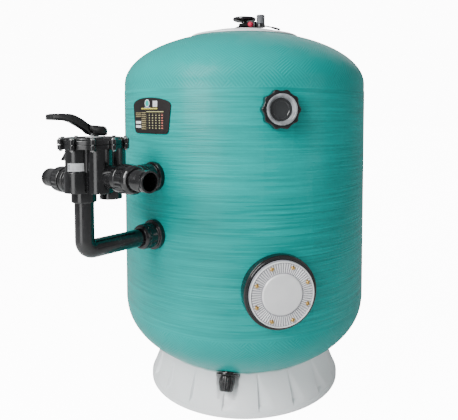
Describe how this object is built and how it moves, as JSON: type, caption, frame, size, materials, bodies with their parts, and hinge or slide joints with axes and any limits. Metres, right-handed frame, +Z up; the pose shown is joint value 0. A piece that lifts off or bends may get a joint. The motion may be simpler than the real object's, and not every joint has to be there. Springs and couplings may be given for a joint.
{
  "type": "sand filter tank",
  "caption": "Upright side-mount pool sand filter: round filament-wound tank on a skirt base, with a selector valve, sand hatch, sight glass and gauge fitting.",
  "frame": {"origin": "on the floor, on the tank's vertical axis", "axes": "+Z up; the selector valve stands on the -Y side; the return port points to +X and the pump port to -X"},
  "size_m": [0.8027, 1.119, 1.2107],
  "materials": {
    "wound_tank": "teal gel coat over wound fibre",
    "white_plastic": "satin",
    "black_plastic": "gloss",
    "grey_plastic": "satin",
    "clear_plastic": "milky translucent",
    "seal_rubber": "matte",
    "brass": "turned",
    "stainless_steel": "brushed",
    "red_plastic": "gloss"
  },
  "bodies": {
    "tank": {"base_ring": "white_plastic", "cover_bolt_1": "stainless_steel", "cover_bolt_10": "stainless_steel", "cover_bolt_2": "stainless_steel", "cover_bolt_3": "stainless_steel", "cover_bolt_4": "stainless_steel", "cover_bolt_5": "stainless_steel", "cover_bolt_6": "stainless_steel", "cover_bolt_7": "stainless_steel", "cover_bolt_8": "stainless_steel", "cover_bolt_9": "stainless_steel", "diffuser": "black_plastic", "drain_body": "black_plastic", "elbow_pipe": "black_plastic", "hatch_flange": "black_plastic", "hatch_seal": "seal_rubber", "lid_seal": "seal_rubber", "lower_bulkhead": "black_plastic", "name_plate": "black_plastic", "neck_ring": "white_plastic", "pump_tailpiece": "black_plastic", "return_tailpiece": "black_plastic", "sight_lens": "grey_plastic", "sight_ring": "clear_plastic", "spider_gasket": "seal_rubber", "tank_shell": "wound_tank", "underdrain": "white_plastic", "upper_bulkhead": "black_plastic", "valve_body": "black_plastic", "valve_cover": "black_plastic"},
    "lid": {"tank_lid": "white_plastic", "top_fitting": "black_plastic", "gauge_case": "black_plastic", "gauge_lens": "clear_plastic", "vent_tube": "black_plastic"},
    "needle": {"gauge_needle": "red_plastic"},
    "relief_knob": {"relief_knob": "grey_plastic"},
    "test_plug": {"test_plug": "red_plastic"},
    "hatch": {"hatch_cover": "clear_plastic", "hatch_bolt_1": "brass", "hatch_bolt_2": "brass", "hatch_bolt_3": "brass", "hatch_bolt_4": "brass", "hatch_bolt_5": "brass", "hatch_bolt_6": "brass", "hatch_bolt_7": "brass", "hatch_bolt_8": "brass"},
    "sight_nut": {"sight_nut": "black_plastic"},
    "upper_union_nut": {"upper_union_nut": "black_plastic"},
    "lower_union_nut": {"lower_union_nut": "black_plastic"},
    "pump_union_nut": {"pump_union_nut": "black_plastic"},
    "return_union_nut": {"return_union_nut": "black_plastic"},
    "wing_plug": {"wing_plug": "black_plastic"},
    "drain_cap": {"drain_cap": "black_plastic"},
    "selector": {"handle_washer": "white_plastic"},
    "rotor": {"rotor": "white_plastic", "rotor_spring": "stainless_steel"},
    "lever": {"handle": "black_plastic", "handle_pin": "stainless_steel"}
  },
  "joints": [
    {"name": "lid_lift", "type": "slide", "parent": "tank", "child": "lid", "axis": [0, 0, 1], "range_m": [0, 0.15]},
    {"name": "needle_turn", "type": "hinge", "parent": "lid", "child": "needle", "pos_m": [0, 0, 1.2042], "axis": [0, 0, 1], "range_deg": [0, 270], "stiffness_Nm_per_rad": 0.0005, "springref_deg": -2.86},
    {"name": "relief_knob_turn", "type": "hinge", "parent": "lid", "child": "relief_knob", "pos_m": [0.07, 0, 1.19], "axis": [0, 0, 1], "range_deg": [0, 360]},
    {"name": "test_plug_turn", "type": "hinge", "parent": "lid", "child": "test_plug", "pos_m": [0.041, 0, 1.1815], "axis": [0, -1, 0], "continuous": true},
    {"name": "hatch_pull", "type": "slide", "parent": "tank", "child": "hatch", "axis": [0.8039, -0.5948, 0], "range_m": [0, 0.12]},
    {"name": "sight_nut_turn", "type": "hinge", "parent": "tank", "child": "sight_nut", "pos_m": [0, 0, 0.8965], "axis": [0.8039, -0.5948, 0], "continuous": true},
    {"name": "upper_union_turn", "type": "hinge", "parent": "tank", "child": "upper_union_nut", "pos_m": [0, -0.43, 0.707], "axis": [0, -1, 0], "continuous": true},
    {"name": "lower_union_turn", "type": "hinge", "parent": "tank", "child": "lower_union_nut", "pos_m": [0, -0.43, 0.541], "axis": [0, -1, 0], "continuous": true},
    {"name": "pump_union_turn", "type": "hinge", "parent": "tank", "child": "pump_union_nut", "pos_m": [-0.15, -0.595, 0.706], "axis": [-1, 0, 0], "continuous": true},
    {"name": "return_union_turn", "type": "hinge", "parent": "tank", "child": "return_union_nut", "pos_m": [0.15, -0.595, 0.73], "axis": [1, 0, 0], "continuous": true},
    {"name": "wing_plug_turn", "type": "hinge", "parent": "tank", "child": "wing_plug", "pos_m": [0, -0.595, 0.774], "axis": [-0.9511, -0.309, 0], "continuous": true},
    {"name": "drain_cap_turn", "type": "hinge", "parent": "tank", "child": "drain_cap", "pos_m": [0.1425, -0.24682, 0.11951], "axis": [0.2545, -0.4409, -0.8607], "continuous": true},
    {"name": "selector_turn", "type": "hinge", "parent": "tank", "child": "selector", "pos_m": [0, -0.595, 0.827], "axis": [0, 0, 1], "continuous": true},
    {"name": "rotor_lift", "type": "slide", "parent": "selector", "child": "rotor", "axis": [0, 0, 1], "range_m": [0, 0.003], "deforming": ["rotor_spring"]},
    {"name": "handle_press", "type": "hinge", "parent": "selector", "child": "lever", "pos_m": [0, -0.595, 0.842], "axis": [1, 0, 0], "range_deg": [0, 12], "stiffness_Nm_per_rad": 20, "springref_deg": -5.73}
  ],
  "couplings": [
    {"joint": "rotor_lift", "follows": "handle_press", "m_per_rad": 0.01432}
  ]
}
